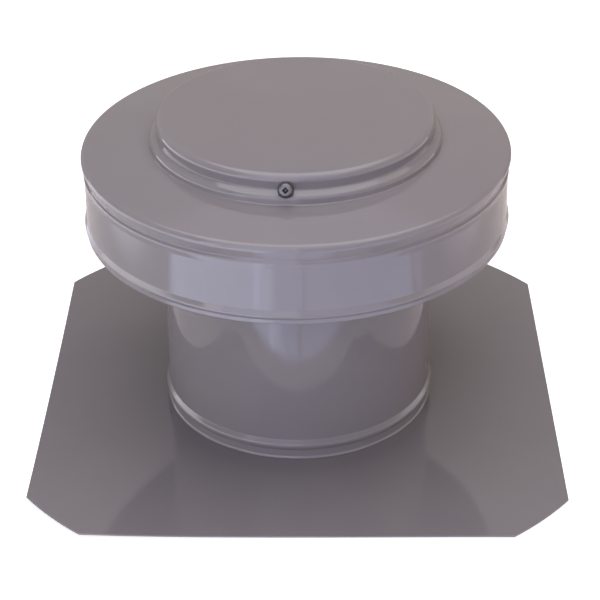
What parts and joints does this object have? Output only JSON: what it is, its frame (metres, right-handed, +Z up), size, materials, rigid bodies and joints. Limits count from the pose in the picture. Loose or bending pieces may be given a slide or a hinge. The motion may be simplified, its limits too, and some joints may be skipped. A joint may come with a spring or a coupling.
{
  "type": "static roof vent",
  "caption": "Round static roof vent: spun hood with raised crown on straps over a straight throat pipe, on a square clipped-corner flashing",
  "frame": {"origin": "centre of the flashing's underside, on the roof deck, on the throat's axis", "axes": "+Z up out of the roof along the throat; +X and +Y along the flashing's sides, -Y to the viewer in the picture; the front screw is near -Y"},
  "size_m": [0.3914, 0.3914, 0.238],
  "materials": {
    "paint": "gloss grey-taupe powder coat",
    "bare_aluminium": "mill finish",
    "screw_steel": "zinc-plated, slightly dull",
    "washer_rubber": "matt black sealing rubber",
    "screen_wire": "woven wire"
  },
  "bodies": {
    "root": {"base_flashing": "paint", "throat_pipe": "paint", "hood": "paint", "strut_front": "bare_aluminium", "strut_rear": "bare_aluminium", "crown_screws": "screw_steel", "sealing_washers": "washer_rubber", "strut_rivets": "bare_aluminium", "insect_screen": "screen_wire"}
  },
  "joints": []
}
